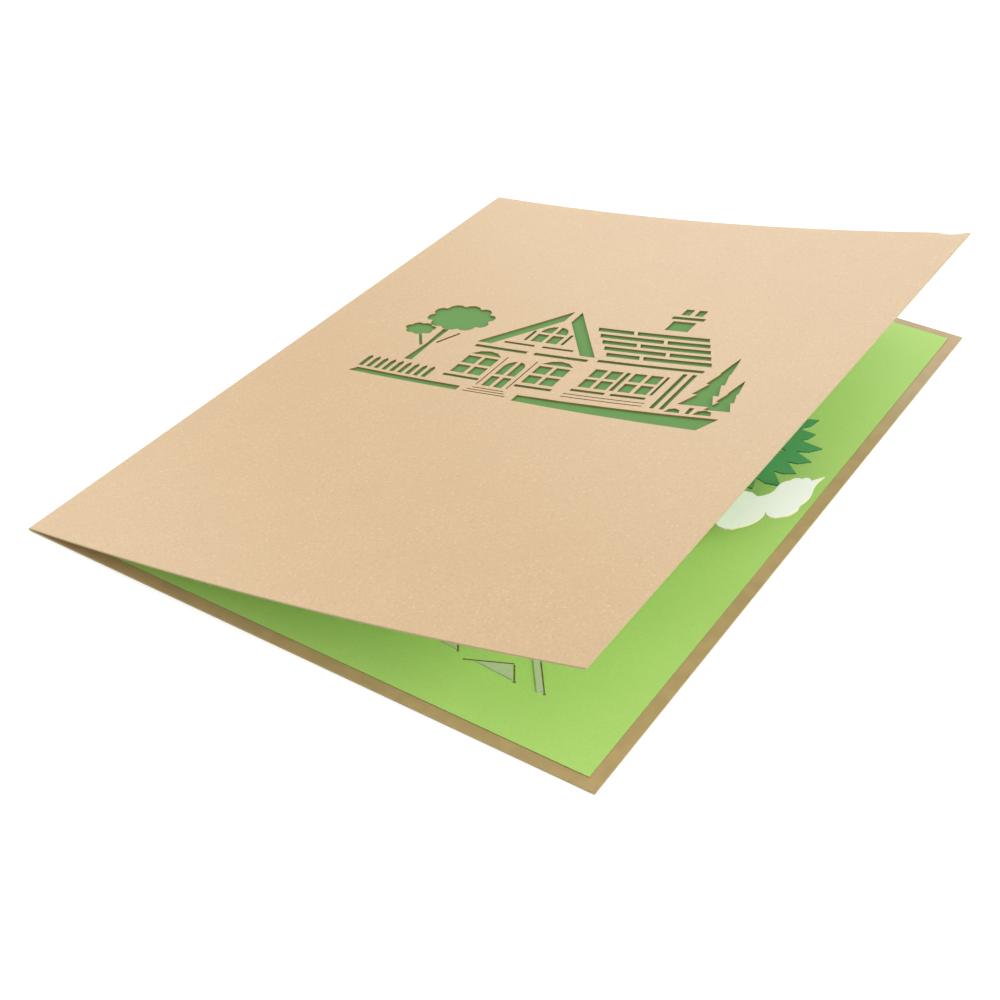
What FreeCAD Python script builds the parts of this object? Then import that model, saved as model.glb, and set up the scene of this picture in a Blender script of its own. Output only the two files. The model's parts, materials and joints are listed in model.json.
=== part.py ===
"""Pop-up greeting card: a folded kraft cover with a laser-cut cottage, green liners, and paper
layers that pivot in slits and stand up as the card opens.

Millimetres. The origin is the centre of the back cover's underside. +X runs from the fold to the
free edge, +Y along the fold to the top of the card, +Z up. The card is modelled ajar, as it lies.
"""
import FreeCAD, Part
import math
import os

# Card and sheets
card_width = 150.0
card_height = 200.0
cover_thickness = 0.4
liner_thickness = 0.2
insert_thickness = 0.15
layer_thickness = 0.3
hook_thickness = 0.2
liner_margin = 3.0
glue_line = 0.05

# Fold
fold_clearance = 0.05
back_gutter = 4.0
front_gutter = 10.0
slope_at_fold = 7.4
slope_gain = 8.7

# Slits and the feet of the layers
layer_lean = 4.2
foot_clearance = 0.05
slit_width = 0.7
slit_behind_foot = 0.5

# Distance of each layer's foot from the fold
house_front_foot = 24.0
tree_foot = 44.0
bush_foot = 64.0
fence_foot = 84.0
house_back_foot = 34.0
grove_foot = 54.0
hill_foot = 74.0

# Cut-out picture on the cover, from the fold and from the middle of the height
picture_left = 24.0
picture_base = -12.0
bridge = 1.1
hairline = 0.35

# Arcs under this radius are cut as a few chords
fine_arc = 9.0
chords_per_arc = 4

# Width and height of the card that the picture, the layers and the hooks are drawn for
drawn_for = (150.0, 200.0)

# Worn nick in the top edge of the front cover
nick_from_free_edge = 9.0
nick_length = 8.0
nick_depth = 1.3

fold_x = -card_width / 2
free_x = card_width / 2
bottom_y = -card_height / 2
top_y = card_height / 2
page_top = cover_thickness
liner_top = page_top + liner_thickness
curl_radius = card_width / math.radians(slope_gain)
insert_offset = -glue_line - insert_thickness
front_liner_offset = insert_offset - glue_line - liner_thickness
cut_reach = card_width / 2
along_width = card_width / drawn_for[0]
along_height = card_height / drawn_for[1]

Vector = FreeCAD.Vector


# Placing points

def on_cover(distance, offset=0.0):
    """Point of the front cover's curled section, at a distance along it from the fold."""
    start = math.radians(slope_at_fold)
    slope = start + distance / curl_radius
    x = fold_x + curl_radius * (math.sin(slope) - math.sin(start)) - offset * math.sin(slope)
    z = page_top + curl_radius * (math.cos(start) - math.cos(slope)) + offset * math.cos(slope)
    return Vector(x, 0, z)


def on_picture(u, v):
    """Point of the cover's picture, seen from above."""
    return Vector(on_cover((picture_left + u) * along_width).x, (picture_base + v) * along_height, 0)


def on_plane(u, v):
    """Point of a flat sheet that still lies in the XY plane."""
    return Vector(u, v, 0)


def on_layer(u, v):
    """Point of a pop-up layer that still lies flat: u is the height above its foot."""
    return Vector(u * along_width, v * along_height, 0)


# Outlines: each is a list of points, and an arc is written as (middle point, end point)

def rectangle(u0, v0, u1, v1):
    return [(u0, v0), (u1, v0), (u1, v1), (u0, v1)]


def disc(u, v, radius):
    return [(u - radius, v), ((u, v + radius), (u + radius, v)), ((u, v - radius), (u - radius, v))]


def arch(u0, v0, u1, v1):
    """A rectangle with a half-round top."""
    radius = (u1 - u0) / 2
    spring = v1 - radius
    return [(u0, v0), (u1, v0), (u1, spring), (((u0 + u1) / 2, v1), (u0, spring))]


def conifer(u, base, half_width, height, tiers):
    """A stepped fir outline."""
    right = []
    left = []
    step = height / (tiers + 0.6)
    for tier in range(tiers):
        reach = half_width * (1 - tier / (tiers + 0.4))
        low = base + tier * step
        right.append((u + reach, low))
        right.append((u + reach * 0.45, low + step))
        left.append((u - reach, low))
        left.append((u - reach * 0.45, low + step))
    return right + [(u, base + height)] + left[::-1]


def leafy_disc(u, v, tip_radius, valley_radius, tips, unevenness=0.0):
    """A crown whose edge is a ring of pointed leaves, each with a belly on one side."""
    pitch = 2 * math.pi / tips
    outline = []
    for tip in range(tips):
        angle = tip * pitch
        reach = tip_radius * (1 + unevenness * math.sin(tip * 2.4))
        belly = (reach + valley_radius) / 2
        for radius, turn in ((valley_radius, angle - pitch / 2), (belly, angle - pitch * 0.38),
                             (reach, angle)):
            outline.append((u + radius * math.cos(turn), v + radius * math.sin(turn)))
    return outline


def scalloped(u, v, half_u, half_v, lobes, depth):
    """A cloud or tree outline: round lobes between valleys that lie on an ellipse."""
    pitch = 2 * math.pi / lobes
    outline = [(u + half_u, v)]
    for lobe in range(lobes):
        middle = (lobe + 0.5) * pitch
        end = (lobe + 1) * pitch
        bulge = (u + half_u * (1 + depth) * math.cos(middle), v + half_v * (1 + depth) * math.sin(middle))
        outline.append((bulge, (u + half_u * math.cos(end), v + half_v * math.sin(end))))
    outline[-1] = (outline[-1][0], outline[0])
    return outline


def leaf(u, v, length, width, angle):
    """A slender leaf that starts at a point and runs at an angle."""
    along = (math.cos(angle), math.sin(angle))
    outline = []
    for distance, side in ((0, 0), (0.3, 0.45), (0.55, 0.45), (1, 0), (0.55, -0.45), (0.3, -0.45)):
        outline.append((u + along[0] * length * distance - along[1] * width * side,
                        v + along[1] * length * distance + along[0] * width * side))
    return outline


def slanted_line(u0, v0, u1, v1, width):
    """A straight strip of one width between two points."""
    length = math.hypot(u1 - u0, v1 - v0)
    du = -(v1 - v0) / length * width / 2
    dv = (u1 - u0) / length * width / 2
    return [(u0 + du, v0 + dv), (u1 + du, v1 + dv), (u1 - du, v1 - dv), (u0 - du, v0 - dv)]


def panes(u0, v0, u1, v1, columns, rows, bar):
    """The openings of a window, with glazing bars between them."""
    width = (u1 - u0 - bar * (columns - 1)) / columns
    height = (v1 - v0 - bar * (rows - 1)) / rows
    found = []
    for column in range(columns):
        for row in range(rows):
            left = u0 + column * (width + bar)
            low = v0 + row * (height + bar)
            found.append(rectangle(left, low, left + width, low + height))
    return found


# Solids

def arc_edges(start, middle, end):
    """The edges of an arc: one true arc, or a few chords where it is small."""
    arc = Part.Arc(start, middle, end).toShape()
    if arc.Curve.Radius > fine_arc:
        return [arc]
    points = arc.discretize(Number=chords_per_arc + 1)
    return [Part.LineSegment(near, far).toShape() for near, far in zip(points, points[1:])]


def prism(outline, place, low, height):
    """A closed outline, placed and raised into a solid."""
    start = outline[0]
    edges = []
    here = place(*start)
    for item in outline[1:] + [start]:
        if isinstance(item[0], tuple):
            there = place(*item[1])
            edges += arc_edges(here, place(*item[0]), there)
        else:
            there = place(*item)
            if there.distanceToPoint(here) < 1e-6:
                continue
            edges.append(Part.LineSegment(here, there).toShape())
        here = there
    face = Part.Face(Part.Wire(edges))
    solid = face.extrude(Vector(0, 0, height))
    solid.translate(Vector(0, 0, low))
    return solid


def flat_sheet(outlines, openings, thickness, place=on_plane):
    """A flat sheet in the XY plane: outlines joined, openings cut through."""
    solids = [prism(outline, place, 0, thickness) for outline in outlines]
    sheet = solids[0]
    if len(solids) > 1:
        sheet = sheet.fuse(solids[1:]).removeSplitter()
    if openings:
        cutters = [prism(opening, place, -thickness, 3 * thickness) for opening in openings]
        sheet = sheet.cut(cutters)
    return sheet


def layer_sheet(outlines, openings):
    """A pop-up layer that still lies flat, without what its outlines leave below the foot."""
    sheet = flat_sheet(outlines, openings, layer_thickness, on_layer)
    if sheet.BoundBox.XMin > -layer_thickness:
        return sheet
    below = Part.makeBox(card_width, 2 * card_height, 3 * layer_thickness,
                         Vector(-card_width, -card_height, -layer_thickness))
    return sheet.cut(below)


def curled_sheet(start, end, low_y, high_y, offset, thickness):
    """A leaf that follows the front cover's curl, from one distance to another."""
    middle = (start + end) / 2
    low = [on_cover(s, offset) for s in (start, middle, end)]
    high = [on_cover(s, offset + thickness) for s in (start, middle, end)]
    wire = Part.Wire([
        Part.Arc(*low).toShape(),
        Part.LineSegment(low[2], high[2]).toShape(),
        Part.Arc(*high[::-1]).toShape(),
        Part.LineSegment(high[0], low[0]).toShape(),
    ])
    solid = Part.Face(wire).extrude(Vector(0, high_y - low_y, 0))
    solid.translate(Vector(0, low_y, 0))
    return solid


def stand_on_back(sheet, foot):
    """Leans a flat sheet up from its slit in the back liner."""
    sheet.rotate(Vector(0, 0, 0), Vector(0, 1, 0), -layer_lean)
    sheet.translate(Vector(fold_x + foot, 0, liner_top + foot_clearance))
    return sheet


def hang_from_front(sheet, foot):
    """Leans a flat sheet down from its slit in the front liner."""
    sheet.translate(Vector(0, 0, -layer_thickness))
    sheet.rotate(Vector(0, 0, 0), Vector(0, 1, 0), -layer_lean)
    sheet.translate(on_cover(foot, front_liner_offset - foot_clearance))
    return sheet


# The picture on the cover: a cottage among trees

def main_gable():
    """The gable that faces the viewer, with an arched loft window."""
    left, top, right, eaves = 24.0, 51.0, 60.0, 27.0
    middle = (left + right) / 2
    slope = (top - eaves) / (middle - left)
    verge = 4.4
    cuts = []
    for side in (-1, 1):
        foot = middle + side * (middle - left)
        outer = middle + side * bridge
        cuts.append([(outer, top - bridge * slope), (foot, eaves), (foot - side * verge, eaves),
                     (outer, top - verge * slope - bridge * slope)])
        near = middle + side * bridge / 2
        far = near + side * 3.4
        cuts.append([(near, 31.2), (far, 31.2), (far, 35.4), (near, 35.4)])
        cuts.append([(near, 36.4), (far, 36.4), ((middle + side * 3.0, 39.0), (near, 40.2))])
        cuts.append(slanted_line(middle + side * 5.6, 31.2, middle + side * 5.6, 36.8, 0.9))
        cuts.append(slanted_line(middle + side * 1.2, 28.9, middle + side * 10.5, 28.9, 0.9))
        cuts.append(slanted_line(middle + side * bridge, 25.0, middle + side * 17.0, 25.0, 1.3))
    return cuts


def ground_floor():
    """Windows and door under the gable."""
    cuts = []
    for left in (26.6, 48.2):
        right = left + 9.2
        cuts += panes(left, 10.6, right, 19.6, 2, 2, bridge)
        cuts.append([(left, 20.7), (right, 20.7), (((left + right) / 2, 23.0), (left, 20.7))])
        cuts.append(rectangle(left - 0.8, 8.2, right + 0.8, 9.3))
    cuts.append([(39.0, 12.6), (41.45, 12.6), (41.45, 19.9), ((39.8, 19.0), (39.0, 17.0))])
    cuts.append([(42.55, 12.6), (45.0, 12.6), (45.0, 17.0), ((44.2, 19.0), (42.55, 19.9))])
    cuts.append(rectangle(39.0, 6.4, 41.45, 11.5))
    cuts.append(rectangle(42.55, 6.4, 45.0, 11.5))
    for post in (37.5, 46.5):
        cuts.append(slanted_line(post, 6.4, post, 21.4, hairline))
    for step in range(3):
        half = 4.6 + step * 0.9
        cuts.append(slanted_line(42 - half, 5.0 - step * 1.1, 42 + half, 5.0 - step * 1.1, hairline))
    return cuts


def wing():
    """The long wing: rows of tiles, two windows, a porch post and a chimney."""
    cuts = []
    rows, row_pitch, tile_height, lean = 5, 3.1, 1.9, 0.8
    for row in range(rows):
        low = 28.4 + row * row_pitch
        left = 62.4 - row * 2.35
        right = 92.0 - row * 1.7
        joint = left + (right - left) * (0.62 if row % 2 else 0.36)
        for start, end in ((left, joint - bridge), (joint, right)):
            cuts.append([(start, low), (end, low),
                         (end - lean, low + tile_height), (start - lean, low + tile_height)])
    cuts.append(rectangle(61.6, 25.0, 91.4, 26.3))
    for left in (63.6, 74.8):
        cuts += panes(left, 12.2, left + 8.0, 21.6, 2, 2, bridge)
        cuts.append(rectangle(left - 0.8, 9.8, left + 8.8, 10.9))
        for shutter in (left - 1.9, left + 8.9):
            if shutter > 64:
                cuts.append(rectangle(shutter, 12.2, shutter + 0.8, 21.6))
    for post in (86.8, 89.4):
        cuts.append(rectangle(post, 6.4, post + 1.2, 23.9))
    for course in range(2):
        cuts.append(slanted_line(62.0, 8.2 - course * 1.4, 84.6, 8.2 - course * 1.4, hairline))
    cuts.append(rectangle(70.0, 45.2, 76.6, 50.4))
    cuts.append(rectangle(68.6, 51.5, 78.0, 53.0))
    cuts.append(rectangle(70.2, 54.1, 72.6, 57.4))
    cuts.append(rectangle(74.0, 54.1, 76.4, 57.4))
    return cuts


def garden():
    """Trees, bushes, fence and ground of the picture."""
    cuts = [scalloped(12.0, 37.5, 8.6, 6.2, 10, 0.18), scalloped(4.6, 28.6, 3.9, 2.7, 7, 0.2)]
    cuts.append([(10.6, 12.6), (13.0, 12.6), (12.6, 22.0), (12.8, 30.2), (11.0, 30.2), (11.4, 22.0)])
    cuts.append(slanted_line(6.4, 26.0, 10.4, 20.6, 0.8))
    cuts.append(slanted_line(13.8, 23.0, 17.0, 29.4, 0.8))
    for picket in range(9):
        left = 0.8 + picket * 2.5
        cuts.append([(left, 5.6), (left + 1.4, 5.6), (left + 1.4, 10.2), (left + 0.7, 11.4), (left, 10.2)])
    cuts.append(conifer(97.2, 9.6, 4.6, 24.5, 4))
    cuts.append(conifer(103.6, 8.2, 3.4, 15.0, 3))
    cuts.append(rectangle(96.6, 5.6, 97.8, 8.5))
    for middle, radius in ((93.2, 2.0), (101.0, 2.4)):
        cuts.append([(middle - radius, 5.6), (middle + radius, 5.6),
                     ((middle, 5.6 + radius), (middle - radius, 5.6))])
    cuts.append([(0.0, 2.4), (34.0, 2.4), (34.0, 4.5), (1.5, 4.5)])
    cuts.append([(51.0, 1.6), (103.0, -1.2), (106.0, 4.5), (51.0, 4.5)])
    return cuts


# Covers and liners

def make_back_cover():
    return Part.makeBox(card_width - fold_clearance, card_height, cover_thickness,
                        Vector(fold_x + fold_clearance, bottom_y, 0))


def make_front_cover():
    sheet = curled_sheet(fold_clearance, card_width, bottom_y, top_y, 0, cover_thickness)
    picture = main_gable() + ground_floor() + wing() + garden()
    cutters = [prism(cut, on_picture, 0, cut_reach) for cut in picture]
    nick_end = on_cover(card_width - nick_from_free_edge + nick_length).x
    nick_start = on_cover(card_width - nick_from_free_edge).x
    nick = [(nick_start, top_y + 1), (nick_start, top_y),
            (((nick_start + nick_end) / 2, top_y - nick_depth), (nick_end, top_y)), (nick_end, top_y + 1)]
    cutters.append(prism(nick, on_plane, 0, cut_reach))
    return sheet.cut(cutters)


def make_green_insert():
    """The darker sheet under the front cover, seen through its picture."""
    return curled_sheet(front_gutter, card_width - liner_margin, bottom_y + liner_margin,
                        top_y - liner_margin, insert_offset, insert_thickness)


def slit(foot, low_y, high_y):
    """Opening of one slit, as an outline measured from the fold."""
    return (foot - slit_behind_foot, low_y, foot - slit_behind_foot + slit_width, high_y)


def make_front_liner(slits):
    sheet = curled_sheet(front_gutter, card_width - liner_margin, bottom_y + liner_margin,
                         top_y - liner_margin, front_liner_offset, liner_thickness)
    cutters = []
    for near, low_y, far, high_y in slits:
        left = on_cover(near).x
        right = on_cover(far).x
        cutters.append(prism(rectangle(left, low_y, right, high_y), on_plane, 0, cut_reach))
    return sheet.cut(cutters)


def make_back_liner(slits, cuts):
    outline = rectangle(fold_x + back_gutter, bottom_y + liner_margin,
                        free_x - liner_margin, top_y - liner_margin)
    openings = []
    for near, low_y, far, high_y in slits:
        openings.append(rectangle(fold_x + near, low_y, fold_x + far, high_y))
    sheet = flat_sheet([outline], openings + cuts, liner_thickness)
    sheet.translate(Vector(0, 0, page_top))
    return sheet


# Small hooks of the pop-up that lie flat near the bottom free corner, from the fold and the bottom

hook_left = (110.6, 18.5)
hook_apex = (117.5, 21.8)
hook_right = (120.2, 17.8)
hook_step = (-15.1, 1.7)
strip_top = (120.0, 27.1)
strip_bottom = (126.65, 17.95)
strip_width = 1.4


def from_corner(point):
    return (fold_x + point[0] * along_width, bottom_y + point[1] * along_height)


def shifted(point, step):
    return (point[0] + step[0], point[1] + step[1])


def flat_hook(outline):
    """A small piece of paper on the back liner."""
    sheet = flat_sheet([outline], [], hook_thickness)
    sheet.translate(Vector(0, 0, liner_top))
    return sheet


def make_hook_triangle(step=(0, 0)):
    return flat_hook([from_corner(shifted(corner, step)) for corner in (hook_left, hook_apex, hook_right)])


def make_hook_strip():
    return flat_hook(slanted_line(*from_corner(strip_top), *from_corner(strip_bottom), strip_width))


def hook_slits():
    """The slits beside the hooks. Each starts in a round hole that stops the paper tearing."""
    ends = [((108.1, 17.8), (117.7, 22.3)), ((120.6, 17.6), (117.9, 22.0)), ((127.7, 17.9), (120.9, 27.4))]
    ends.append((shifted(ends[1][0], hook_step), shifted(ends[1][1], hook_step)))
    cuts = []
    for near, far in ends:
        cuts.append(slanted_line(*from_corner(near), *from_corner(far), hairline))
        cuts.append(disc(*from_corner(near), hairline))
    return cuts


# Pop-up layers: u is the height above the foot, v runs along the fold

def smoke_plume():
    """Outline of the smoke, from the chimney's mouth to a wisp at the free edge and back."""
    return [(92.0, -14.6), ((97.4, -10.2), (102.0, -12.4)), ((106.4, -8.4), (110.5, -10.4)),
            ((112.8, -7.0), (115.4, -7.9)), ((117.6, -5.2), (117.8, -2.2)), ((118.3, 0.3), (119.4, 1.6)),
            ((120.2, 3.1), (121.6, 3.3)), ((122.8, 4.4), (123.6, 3.6)), (125.7, 6.6),
            ((125.2, 2.8), (125.7, -0.4)), ((126.0, -3.4), (125.4, -6.6)), ((125.2, -10.6), (123.2, -12.9)),
            ((121.6, -13.9), (119.8, -12.6)), ((119.3, -17.2), (117.0, -20.8)),
            ((114.4, -22.7), (111.4, -21.2)), ((107.8, -25.6), (103.4, -23.4)),
            ((98.6, -25.6), (92.0, -20.4))]


def house_front():
    """White front of the cottage, with its chimney and a plume of smoke."""
    low, high = -52.0, 18.0
    gable_low, gable_high, eaves, ridge = -40.0, 0.0, 44.0, 78.0
    middle = (gable_low + gable_high) / 2
    wall = [(0, low), (eaves - 8, low), (eaves - 8, gable_low), (eaves, gable_low - 4), (ridge, middle),
            (eaves, gable_high + 4), (eaves + 10, gable_high + 6), (eaves + 10, high), (0, high)]
    chimney_middle = middle + 2.5
    outlines = [wall, rectangle(60, chimney_middle - 4.5, 94, chimney_middle + 4.5),
                rectangle(90, chimney_middle - 5.7, 93, chimney_middle + 5.7)]
    outlines.append(smoke_plume())
    cuts = []
    for left in (gable_low + 5, gable_high - 16):
        for v in (left, left + 5.8):
            for u in (14.0, 21.2):
                cuts.append(rectangle(u, v, u + 6.0, v + 4.6))
    door = middle
    cuts.append([(1.5, door - 4.5), (18, door - 4.5), ((22.5, door), (18, door + 4.5)),
                 (18, door + 3.9), ((21.9, door), (18, door - 3.9)), (1.5, door - 3.9)])
    for side in (-1, 1):
        cuts.append([(50.0, middle + side * 0.7), (50.0, middle + side * 6.0),
                     ((56.3, middle + side * 4.6), (57.6, middle + side * 0.7))])
        cuts.append(slanted_line(eaves - 1.0, middle + side * 20.5, ridge - 7.0, middle + side * 2.2, 1.4))
        cuts.append(slanted_line(eaves - 3.5, middle + side * 16.0, eaves - 3.5, middle + side * 1.2, 1.2))
    for v in (gable_high + 4.0, gable_high + 10.6):
        for u in (13.0, 20.6):
            cuts.append(rectangle(u, v, u + 6.4, v + 5.2))
    cuts += panes(14.0, low + 2.8, 27.0, low + 9.6, 2, 1, 1.0)
    for row in range(4):
        u = 31.5 + row * 4.6
        cuts.append(slanted_line(u, gable_high + 7.2, u, high - 2.0, 1.5))
    for course in range(4):
        u = 80.0 + course * 2.6
        if u < 89:
            cuts.append(slanted_line(u, chimney_middle - 3.0, u, chimney_middle + 3.0, 0.5))
    return layer_sheet(outlines, cuts)


def tree_row():
    """Green row with the large leafy tree and two firs."""
    outlines = [rectangle(0, -68, 5, 62)]
    crown_u, crown_v, tip_radius, valley_radius = 73.6, 13.0, 26.0, 21.2
    outlines.append(leafy_disc(crown_u, crown_v, tip_radius, valley_radius, 26, 0.045))
    outlines.append([(0, crown_v - 5.5), (0, crown_v + 5.5), (12, crown_v + 3.4), (56, crown_v + 2.2),
                     (56, crown_v - 2.2), (12, crown_v - 3.4)])
    outlines.append(conifer_up(-56.0, 0, 11.0, 48.0, 4))
    outlines.append(conifer_up(50.0, 0, 10.0, 38.0, 3))
    cuts = []
    for ring, count, length in ((17.0, 13, 5.0), (9.5, 7, 6.0)):
        for index in range(count):
            angle = 2 * math.pi * index / count + ring
            u = crown_u + (ring - 3.0) * math.cos(angle)
            v = crown_v + (ring - 3.0) * math.sin(angle)
            cuts.append(leaf(u, v, length, 1.9, angle))
    return layer_sheet(outlines, cuts)


def turned(outline):
    """An outline with its two directions exchanged, so that what stood along v stands along u."""
    found = []
    for item in outline:
        if isinstance(item[0], tuple):
            found.append(((item[0][1], item[0][0]), (item[1][1], item[1][0])))
        else:
            found.append((item[1], item[0]))
    return found


def conifer_up(v, base, half_width, height, tiers):
    return turned(conifer(v, base, half_width, height, tiers))


def bush_row():
    """Round green bushes with leaf-shaped cuts."""
    outlines = [rectangle(0, -66, 6, 66)]
    cuts = []
    for v, radius in ((-56, 9.0), (-42, 12.0), (-27, 8.5), (22, 8.0), (36, 12.5), (53, 10.0)):
        outlines.append(leafy_disc(radius * 0.9, v, radius, radius * 0.84, 13))
        outlines.append(rectangle(0, v - radius * 0.5, radius, v + radius * 0.5))
        for angle in (-0.8, 0, 0.8):
            cuts.append(leaf(radius * 0.75 + 2 * math.cos(angle), v + 2 * math.sin(angle),
                             radius * 0.6, 1.3, angle))
    return layer_sheet(outlines, cuts)


def fence_row():
    """White picket fence with two rails and a gap for the gate."""
    outlines = []
    for low, high in ((-64.0, -12.0), (12.0, 64.0)):
        outlines.append(rectangle(0, low, 2.2, high))
        outlines.append(rectangle(5.0, low, 6.6, high))
        outlines.append(rectangle(13.4, low, 15.0, high))
        pickets = 10
        pitch = (high - low - 3.0) / (pickets - 1)
        for picket in range(pickets):
            v = low + picket * pitch
            outlines.append([(0, v), (18.0, v), (20.0, v + 1.5), (18.0, v + 3.0), (0, v + 3.0)])
    outlines.append(rectangle(0, -12.5, 2.2, 12.5))
    return layer_sheet(outlines, [])


def house_back():
    """White back wall of the cottage, a little lower than its front."""
    middle, half = -17.0, 30.0
    wall = [(0, middle - half), (38, middle - half), (72, middle), (38, middle + half), (0, middle + half)]
    cuts = []
    for v in (middle - 22, middle - 9, middle + 4.5, middle + 17):
        for u in (12.0, 20.0):
            cuts.append(rectangle(u, v, u + 7.0, v + 4.6))
    for side in (-1, 1):
        cuts.append(slanted_line(37.0, middle + side * 25.5, 64.5, middle + side * 2.2, 1.6))
        cuts.append(arch_up(middle + side * 4.2, 42.0, 5.6, 12.0))
    return layer_sheet([wall], cuts)


def arch_up(v, base, width, height):
    return turned(arch(v - width / 2, base, v + width / 2, base + height))


def grove_row():
    """Green row of firs behind the cottage."""
    outlines = [rectangle(0, -70, 5, 70)]
    for v, half_width, height, tiers in ((-58, 10.5, 62, 5), (-40, 9.0, 48, 4), (22, 9.0, 46, 4),
                                         (38, 11.0, 66, 5), (57, 10.0, 54, 4)):
        outlines.append(conifer_up(v, 0, half_width, height, tiers))
    cuts = []
    for v, height in ((-58, 62), (38, 66), (57, 54)):
        for step in range(3):
            u = height * (0.18 + 0.2 * step)
            for side in (-1, 1):
                cuts.append(leaf(u, v + side * 0.9, 5.5 - step, 1.2, side * 2.0))
    return layer_sheet(outlines, cuts)


def hill_row():
    """Low green hills with bushes on them."""
    outlines = []
    for v, radius in ((-52, 11.0), (-36, 14.0), (-14, 12.0), (8, 15.0), (30, 12.0), (50, 13.0)):
        outlines.append(disc(radius * 0.7, v, radius))
    outlines.append(rectangle(0, -63, 8, 63))
    return layer_sheet(outlines, [])


def row_slits(foot, spans):
    return [slit(foot, low_y * along_height, high_y * along_height) for low_y, high_y in spans]


def build():
    back_slits = (row_slits(house_front_foot, ((-50, -26), (-10, 16))) +
                  row_slits(tree_foot, ((-64, -44), (2, 24), (40, 60))) +
                  row_slits(bush_foot, ((-64, -20), (14, 62))) +
                  row_slits(fence_foot, ((-62, -14), (14, 62))))
    front_slits = (row_slits(house_back_foot, ((-44, -24), (-10, 10))) +
                   row_slits(grove_foot, ((-66, -34), (16, 66))) +
                   row_slits(hill_foot, ((-60, -20), (-6, 18), (28, 60))))
    pieces = {
        "back_cover": make_back_cover(),
        "back_liner": make_back_liner(back_slits, hook_slits()),
        "hook_triangle_1": make_hook_triangle(),
        "hook_triangle_2": make_hook_triangle(hook_step),
        "hook_strip": make_hook_strip(),
        "front_cover": make_front_cover(),
        "green_insert": make_green_insert(),
        "front_liner": make_front_liner(front_slits),
        "house_front": stand_on_back(house_front(), house_front_foot),
        "tree_row": stand_on_back(tree_row(), tree_foot),
        "bush_row": stand_on_back(bush_row(), bush_foot),
        "fence_row": stand_on_back(fence_row(), fence_foot),
        "house_back": hang_from_front(house_back(), house_back_foot),
        "grove_row": hang_from_front(grove_row(), grove_foot),
        "hill_row": hang_from_front(hill_row(), hill_foot),
    }
    os.makedirs("parts", exist_ok=True)
    for name, shape in pieces.items():
        solids = shape.Solids
        print(name, "solids", len(solids), "valid", shape.isValid(), "volume", round(shape.Volume, 2))
        shape = solids[0] if len(solids) == 1 else shape
        shape.exportStep("parts/" + name + ".step")


build()
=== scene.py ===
# %% [markdown]
# # A pop-up card, lying ajar
# The card is paper all the way: a folded kraft cover, green liners and flat cut layers inside.
# The frame already holds every sheet at its real size, so this lesson is about what makes a flat
# sheet look like paper: flecks, fibres, cut edges and the way light gets between the leaves.

# %% Load the frame
import json
import math

import bmesh
import bpy
from mathutils import Matrix, Vector


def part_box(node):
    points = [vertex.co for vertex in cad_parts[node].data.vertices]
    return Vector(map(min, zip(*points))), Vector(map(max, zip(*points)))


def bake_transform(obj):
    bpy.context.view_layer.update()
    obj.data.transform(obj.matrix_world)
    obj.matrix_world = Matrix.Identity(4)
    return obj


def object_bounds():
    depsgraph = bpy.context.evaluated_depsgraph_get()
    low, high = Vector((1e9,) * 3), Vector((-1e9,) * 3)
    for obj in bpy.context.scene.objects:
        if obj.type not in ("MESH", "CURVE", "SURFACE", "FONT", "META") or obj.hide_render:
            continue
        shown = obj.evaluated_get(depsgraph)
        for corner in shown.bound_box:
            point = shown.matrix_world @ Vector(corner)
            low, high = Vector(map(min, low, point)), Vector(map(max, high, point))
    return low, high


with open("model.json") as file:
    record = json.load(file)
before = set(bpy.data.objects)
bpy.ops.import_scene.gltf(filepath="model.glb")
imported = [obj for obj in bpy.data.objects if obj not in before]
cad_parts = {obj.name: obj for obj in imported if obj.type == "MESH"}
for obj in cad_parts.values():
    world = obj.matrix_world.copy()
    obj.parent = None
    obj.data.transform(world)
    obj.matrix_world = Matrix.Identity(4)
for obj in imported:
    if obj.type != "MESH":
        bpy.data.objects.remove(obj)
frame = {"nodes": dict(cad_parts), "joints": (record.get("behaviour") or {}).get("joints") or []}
cad_low, cad_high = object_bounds()
nodes = frame["nodes"]
MM = 0.001
HALF_HEIGHT_MM = cad_high.y / MM
FREE_EDGE_MM = cad_high.x / MM
print("sheets in the frame:", len(nodes))

# %% [markdown]
# ## Helpers
# Colours are written as they would be picked from a paper maker's swatch, in sRGB hex, and one
# function turns them to the linear values that a shader wants. One more adds any shader node.


# %% Colour and node helpers
def linear(hex_value):
    """Linear RGBA of an sRGB hex colour."""
    channels = []
    for start in (0, 2, 4):
        value = int(hex_value[start:start + 2], 16) / 255
        channels.append(value / 12.92 if value <= 0.04045 else ((value + 0.055) / 1.055) ** 2.4)
    return (*channels, 1.0)


def add(tree, kind, inputs=None, **settings):
    """Adds a node of a kind, sets its properties, and sets or links its inputs."""
    node = tree.nodes.new(kind)
    for name, value in settings.items():
        setattr(node, name, value)
    for name, value in (inputs or {}).items():
        if isinstance(value, bpy.types.NodeSocket):
            tree.links.new(value, node.inputs[name])
        else:
            node.inputs[name].default_value = value
    return node


def new_material(name):
    """An empty material with its Principled shader and the object's coordinates in millimetres."""
    material = bpy.data.materials.new(name)
    material.use_nodes = True
    tree = material.node_tree
    tree.nodes.clear()
    shader = add(tree, "ShaderNodeBsdfPrincipled")
    add(tree, "ShaderNodeOutputMaterial", {"Surface": shader.outputs["BSDF"]})
    coordinates = add(tree, "ShaderNodeTexCoord")
    in_mm = add(tree, "ShaderNodeVectorMath", {0: coordinates.outputs["Object"], 1: (1000, 1000, 1000)},
                operation="MULTIPLY")
    return material, tree, shader, in_mm.outputs[0], coordinates


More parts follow.
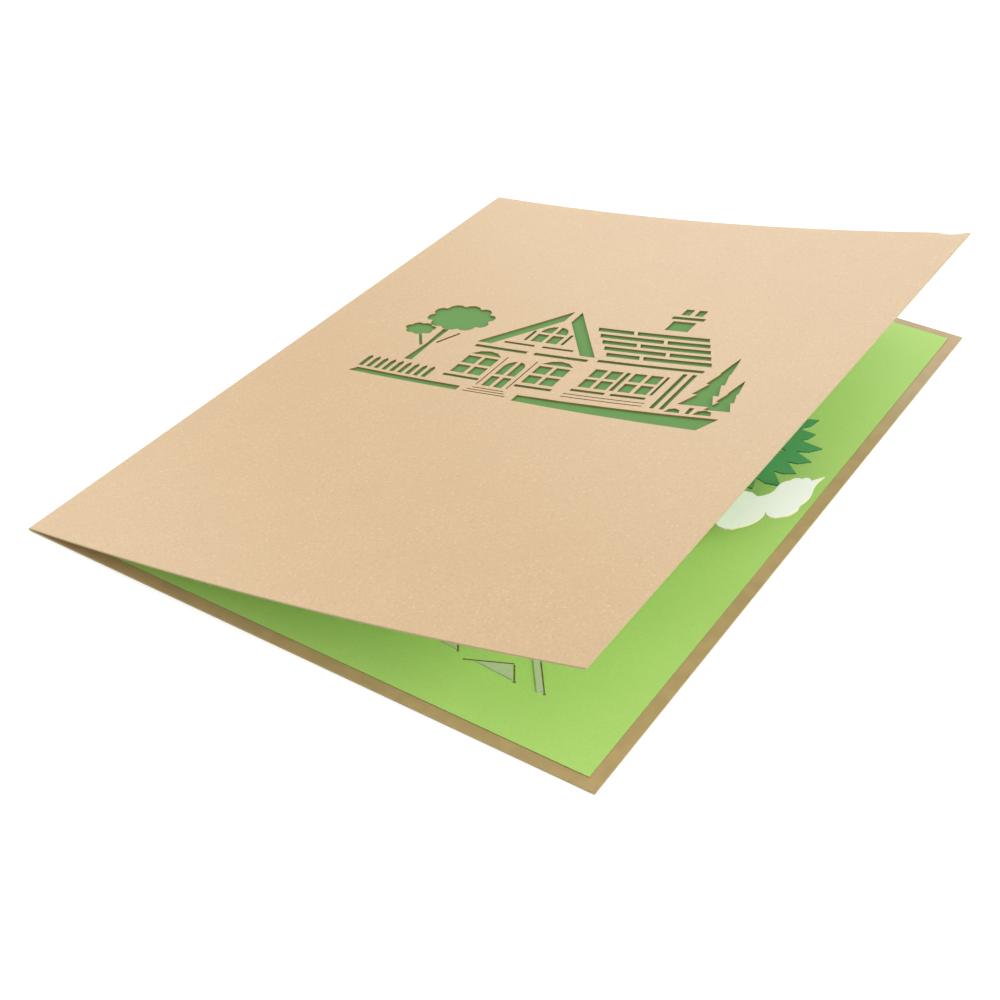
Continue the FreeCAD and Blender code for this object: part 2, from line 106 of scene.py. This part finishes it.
def mixed(tree, factor, first, second, blend="MIX"):
    """Colour mix of two colours or sockets."""
    node = add(tree, "ShaderNodeMix", data_type="RGBA", blend_type=blend)
    for index, value in ((0, factor), (6, first), (7, second)):
        if isinstance(value, bpy.types.NodeSocket):
            tree.links.new(value, node.inputs[index])
        else:
            node.inputs[index].default_value = value
    return node.outputs[2]


def ramp(tree, value, low, high, to_low=0.0, to_high=1.0):
    """A value rescaled from low..high to another range, with soft ends."""
    node = add(tree, "ShaderNodeMapRange", {"Value": value, "From Min": low, "From Max": high,
                                            "To Min": to_low, "To Max": to_high},
               interpolation_type="SMOOTHSTEP")
    return node.outputs["Result"]


def times(tree, first, second):
    """The product of two values or sockets."""
    return add(tree, "ShaderNodeMath", {0: first, 1: second}, operation="MULTIPLY").outputs[0]


# %% [markdown]
# ## Paper
# Every sheet here is paper or card, so they share one recipe. Paper is a felt of fibres: seen close,
# its colour is uneven by a few parts in a hundred, and it has a tooth that takes the shine off. A
# laser cuts it, and leaves the walls of each cut toasted. The walls are found by the surface normal:
# on a sheet that lies flat they are the faces that don't look up or down. The outer edges of the card
# are trimmed by a blade instead, so they stay paler, and the place on the sheet tells the two apart.
# Where a sheet is coated on one side only, the bare side has its own colour, uneven in faint blots.


# %% The paper recipe
CLOUD_MM = 14.0
CLOUD_SHADE = 0.94
BLOT_MM = 5.0
BLOT_SHADE = 0.05
TOOTH_DEPTH_MM = 0.02
PAPER_IOR = 1.47
TRIM_BAND_MM = 6.0
SIDE_BAND_MM = 7.0
BAND_EDGE_MM = 2.0


def shade(colour, factor):
    """A colour made darker or lighter by a factor."""
    return (*(channel * factor for channel in colour[:3]), 1.0)


def band(tree, value, edge_mm, width_mm):
    """0 inside the sheet and 1 in the band of a width that ends at its edge."""
    start = edge_mm - width_mm
    return ramp(tree, value, start, start + BAND_EDGE_MM)


def paper(name, colour, cut_wall, trimmed_wall, roughness, mottle=0.03, tooth_mm=0.45,
          inner_side=None):
    """Paper of one colour, uneven by a share, with cut walls. A coated sheet's bare side is given
    as (1 or -1 for the face that looks up or down, colour)."""
    material, tree, shader, place, coordinates = new_material(name)
    felt = add(tree, "ShaderNodeTexNoise", {"Vector": place, "Scale": 1 / tooth_mm, "Detail": 2.5})
    clouds = add(tree, "ShaderNodeTexNoise", {"Vector": place, "Scale": 1 / CLOUD_MM, "Detail": 2.0})
    full = linear(colour)
    base = mixed(tree, ramp(tree, felt.outputs["Fac"], 0.3, 0.7),
                 shade(full, 1 - mottle), shade(full, 1 + mottle))
    base = mixed(tree, ramp(tree, clouds.outputs["Fac"], 0.35, 0.65, 0.0, 0.25),
                 base, shade(full, CLOUD_SHADE))
    normal = add(tree, "ShaderNodeSeparateXYZ", {"Vector": coordinates.outputs["Normal"]})
    if inner_side:
        side, inner_colour = inner_side
        facing = times(tree, normal.outputs["Z"], side)
        bare = linear(inner_colour)
        blots = add(tree, "ShaderNodeTexNoise", {"Vector": place, "Scale": 1 / BLOT_MM, "Detail": 3.0})
        bare = mixed(tree, ramp(tree, blots.outputs["Fac"], 0.35, 0.65),
                     shade(bare, 1 - BLOT_SHADE), shade(bare, 1 + BLOT_SHADE))
        base = mixed(tree, ramp(tree, facing, 0.4, 0.6), base, bare)
    upright = add(tree, "ShaderNodeMath", {0: normal.outputs["Z"]}, operation="ABSOLUTE")
    wall = ramp(tree, upright.outputs[0], 0.35, 0.7, 1.0, 0.0)
    spot = add(tree, "ShaderNodeSeparateXYZ", {"Vector": place})
    off_middle = add(tree, "ShaderNodeMath", {0: spot.outputs["Y"]}, operation="ABSOLUTE")
    at_end = band(tree, off_middle.outputs[0], HALF_HEIGHT_MM, TRIM_BAND_MM)
    at_side = band(tree, spot.outputs["X"], FREE_EDGE_MM, SIDE_BAND_MM)
    trimmed = add(tree, "ShaderNodeMath", {0: at_end, 1: at_side}, operation="MAXIMUM")
    wall_colour = mixed(tree, trimmed.outputs[0], linear(cut_wall), linear(trimmed_wall))
    base = mixed(tree, wall, base, wall_colour)
    tree.links.new(base, shader.inputs["Base Color"])
    shader.inputs["Roughness"].default_value = roughness
    shader.inputs["IOR"].default_value = PAPER_IOR
    bump = add(tree, "ShaderNodeBump", {"Height": felt.outputs["Fac"], "Strength": 0.3,
                                        "Distance": TOOTH_DEPTH_MM * MM})
    tree.links.new(bump.outputs["Normal"], shader.inputs["Normal"])
    return material, tree, shader, place, base


# %% [markdown]
# ## Pearl kraft card
# The cover is kraft-coloured card with a pearl coating on its outer side: mica flakes a fraction of a
# millimetre wide, whose glints are painted into the colour as whitish specks, among darker pores. They
# are drawn as one flake to a cell of a Voronoi pattern, and chance picks the few cells that show from a
# step away. The inner side has no coating, so it has no flakes and is browner.


# %% Pearl kraft card
FLAKE_CELL_MM = 0.9


def pearl_kraft(name, inner_facing):
    """Kraft card whose inner side looks up (1) or down (-1)."""
    material, tree, shader, place, base = paper(name, "cdae84", "877145", "9d8c62", 0.38, mottle=0.045,
                                                tooth_mm=0.7, inner_side=(inner_facing, "b1946a"))
    flakes = add(tree, "ShaderNodeTexVoronoi", {"Vector": place, "Scale": 1 / FLAKE_CELL_MM},
                 feature="F1")
    flake = ramp(tree, flakes.outputs["Distance"], 0.1, 0.42, 1.0, 0.0)
    coordinates = add(tree, "ShaderNodeTexCoord")
    normal = add(tree, "ShaderNodeSeparateXYZ", {"Vector": coordinates.outputs["Normal"]})
    outward = times(tree, normal.outputs["Z"], -inner_facing)
    flake = times(tree, flake, ramp(tree, outward, 0.4, 0.6))
    chance = add(tree, "ShaderNodeSeparateColor", {"Color": flakes.outputs["Color"]})
    # Painted highlight: the glints of the mica flakes, as whitish specks in the base colour.
    painted_glint = times(tree, flake, ramp(tree, chance.outputs["Red"], 0.6, 0.9, 0.0, 0.5))
    dark = times(tree, flake, ramp(tree, chance.outputs["Green"], 0.68, 0.92, 0.0, 0.4))
    with_painted_glint = mixed(tree, painted_glint, base, linear("e5ceab"))
    with_dark = mixed(tree, dark, with_painted_glint, linear("b08c62"))
    tree.links.new(with_dark, shader.inputs["Base Color"])
    return material


kraft_front = pearl_kraft("pearl_kraft_front", -1)
kraft_back = pearl_kraft("pearl_kraft_back", 1)
# The liner's outer walls are a dark olive: partly a toasted cut edge, and partly painted shade for the
# thin shadow line along the liner's edge.
light_green = paper("liner_paper", "abcf6f", "4d5a2b", "6d7438", 0.62)[0]
mid_green = paper("insert_paper", "5f9146", "4f7a40", "4f7a40", 0.75)[0]
leaf_green = paper("leaf_card", "509d60", "2f5d36", "2f5d36", 0.7)[0]
white = paper("house_card", "fffdff", "c9b794", "c9b794", 0.72, mottle=0.01)[0]
# Painted shade: the hooks are white card, coloured a greenish grey for the shade under the cover and the
# green light thrown up from the liner.
painted_shade_white = paper("hook_paper_with_painted_shade", "b3c09a", "8d937a", "8d937a", 0.75)[0]
print("papers:", [m.name for m in bpy.data.materials])

# %% [markdown]
# ## Dressing the sheets
# A sheet cut from card is already right in the frame, holes and all, so it keeps its own mesh and
# only gets its paper. The curled leaves are made of flat facets, so their corners are welded and
# their faces shaded smooth, with the sharp cut edges split off again.

# %% Give every sheet its paper
SHEET_PAPER = {
    "back_cover": kraft_back, "front_cover": kraft_front, "green_insert": mid_green,
    "back_liner": light_green, "front_liner": light_green,
    "hook_triangle_1": painted_shade_white, "hook_triangle_2": painted_shade_white, "hook_strip": painted_shade_white,
    "house_front": white, "house_back": white, "fence_row": white,
    "tree_row": leaf_green, "grove_row": leaf_green, "bush_row": leaf_green, "hill_row": light_green,
}
CURLED = ("front_cover", "green_insert", "front_liner")
WELD_MM = 0.002
SHARP_ANGLE = math.radians(30)
for name, material in SHEET_PAPER.items():
    sheet = nodes[name]
    sheet.data.materials.clear()
    sheet.data.materials.append(material)
    if name in CURLED:
        for face in sheet.data.polygons:
            face.use_smooth = True
        weld = sheet.modifiers.new("weld", "WELD")
        weld.merge_threshold = WELD_MM * MM
        split = sheet.modifiers.new("sharp", "EDGE_SPLIT")
        split.split_angle = SHARP_ANGLE
print("dressed:", len(SHEET_PAPER))

# %% [markdown]
# ## The fold
# The real cover is one sheet, creased down the middle. The frame hinges its two leaves, so a thin
# strip of the same card is wrapped round the crease: a few points spun through half a turn about the
# hinge line.

# %% Wrap the crease
hinge = next(j for j in frame["joints"] if j["name"] == "cover_hinge")
fold_x = hinge["pos_m"][0]
fold_z = hinge["pos_m"][2]
back_low, back_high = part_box("back_cover")
CARD = back_high.z - back_low.z
INSIDE = 0.35 * CARD
WRAP_ANGLE = math.radians(188)
WRAP_STEPS = 12


def crease():
    """A strip as long as the fold, spun from under the back leaf to the top of the front one."""
    work = bmesh.new()
    near, far = back_low.y, back_high.y
    section = ((near, INSIDE), (near, CARD), (far, CARD), (far, INSIDE))
    face = work.faces.new([work.verts.new((fold_x, y, fold_z - depth)) for y, depth in section])
    bmesh.ops.spin(work, geom=[face, *face.edges, *face.verts], cent=(fold_x, 0, fold_z), axis=(0, 1, 0),
                   angle=WRAP_ANGLE, steps=WRAP_STEPS, use_merge=False)
    bmesh.ops.remove_doubles(work, verts=work.verts, dist=1e-7)
    bmesh.ops.recalc_face_normals(work, faces=work.faces)
    mesh = bpy.data.meshes.new("crease")
    work.to_mesh(mesh)
    work.free()
    return bpy.data.objects.new("crease", mesh)


fold = crease()
bpy.context.scene.collection.objects.link(fold)
fold.data.materials.append(kraft_front)
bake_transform(fold)
print("crease points:", len(fold.data.vertices))

# %% [markdown]
# ## Stage, light and camera
# The photo is a product shot on plain white. A very soft sky does most of the work, so shade gathers
# only between the leaves. The strongest lamp stands low on the open side and reaches in under the
# cover; the weak ones behind the card and past the fold are there for the sheen of the pearl coating,
# and one more looks into the opening. The floor is white to the camera, and grey to the light.

# %% Floor
FLOOR_REACH = 3.0
FLOOR_GAP = 0.2 * MM

floor_mesh = bpy.data.meshes.new("floor")
floor_work = bmesh.new()
bmesh.ops.create_grid(floor_work, x_segments=1, y_segments=1, size=FLOOR_REACH)
floor_work.to_mesh(floor_mesh)
floor_work.free()
floor = bpy.data.objects.new("floor", floor_mesh)
floor.location.z = -FLOOR_GAP
bpy.context.scene.collection.objects.link(floor)
floor_material = bpy.data.materials.new("white_floor")
floor_material.use_nodes = True
floor_tree = floor_material.node_tree
floor_tree.nodes.clear()
plain = add(floor_tree, "ShaderNodeBsdfDiffuse", {"Color": (0.55, 0.55, 0.55, 1)})
glow = add(floor_tree, "ShaderNodeEmission", {"Color": (1, 1, 1, 1), "Strength": 0.6})
lit = add(floor_tree, "ShaderNodeAddShader", {0: plain.outputs[0], 1: glow.outputs[0]})
matte = add(floor_tree, "ShaderNodeBsdfDiffuse", {"Color": (0.8, 0.8, 0.8, 1)})
ray = add(floor_tree, "ShaderNodeLightPath")
choose = add(floor_tree, "ShaderNodeMixShader", {0: ray.outputs["Is Camera Ray"], 1: matte.outputs[0],
                                                 2: lit.outputs[0]})
add(floor_tree, "ShaderNodeOutputMaterial", {"Surface": choose.outputs[0]})
floor.data.materials.append(floor_material)

# %% Sky and lamps
world = bpy.data.worlds.new("studio")
bpy.context.scene.world = world
world.use_nodes = True
world_tree = world.node_tree
world_tree.nodes.clear()
sky = add(world_tree, "ShaderNodeBackground", {"Color": (1, 1, 1, 1), "Strength": 0.74})
backdrop = add(world_tree, "ShaderNodeBackground", {"Color": (1, 1, 1, 1), "Strength": 1.0})
world_ray = add(world_tree, "ShaderNodeLightPath")
sees = add(world_tree, "ShaderNodeMixShader", {0: world_ray.outputs["Is Camera Ray"], 1: sky.outputs[0],
                                               2: backdrop.outputs[0]})
add(world_tree, "ShaderNodeOutputWorld", {"Surface": sees.outputs[0]})


LAMP_SIDE = 0.8
LAMPS = (
    ("table", (1.1, 0.1, 0.42), 14.6),
    ("far", (0.45, 0.75, 1.0), 0.6),
    ("sheen", (-0.5, 1.15, 0.5), 2.9),
    ("fold", (-1.2, 0.35, 0.55), 3.8),
    ("opening", (-0.15, -1.2, 0.28), 5.5),
)


def lamp(name, place, power):
    """A square soft box that looks at the card's middle."""
    data = bpy.data.lights.new(name, "AREA")
    data.shape = "SQUARE"
    data.size = LAMP_SIDE
    data.energy = power
    light = bpy.data.objects.new(name, data)
    light.location = place
    light.rotation_mode = "QUATERNION"
    light.rotation_quaternion = (-Vector(place)).to_track_quat("-Z", "Y")
    bpy.context.scene.collection.objects.link(light)


for lamp_name, lamp_place, lamp_power in LAMPS:
    lamp(lamp_name, lamp_place, lamp_power)
print("lamps:", len(LAMPS))

# %% [markdown]
# ## Camera
# The four corners of the back page fix the photo's viewpoint: a 60 mm lens from just over 40 cm, looking
# down by 37 degrees and turned 32 degrees round the card, with half a degree of roll. A camera looks
# along its own -Z, so its turn starts from looking straight down.

# %% Camera
CAMERA_PLACE = (0.17757, -0.29723, 0.23742)
AZIMUTH = math.radians(32.31)
ELEVATION = math.radians(36.98)
ROLL = math.radians(0.566)
LENS = 60.03
camera_data = bpy.data.cameras.new("camera")
camera_data.sensor_fit = "HORIZONTAL"
camera_data.sensor_width = 36.0
camera_data.lens = LENS
camera_data.clip_start = 0.01
camera = bpy.data.objects.new("camera", camera_data)
turn = Matrix.Rotation(AZIMUTH, 4, "Z") @ Matrix.Rotation(math.radians(90) - ELEVATION, 4, "X")
camera.matrix_world = Matrix.Translation(CAMERA_PLACE) @ turn @ Matrix.Rotation(ROLL, 4, "Z")
bpy.context.scene.collection.objects.link(camera)
bpy.context.scene.camera = camera
bpy.context.scene.view_settings.view_transform = "Standard"
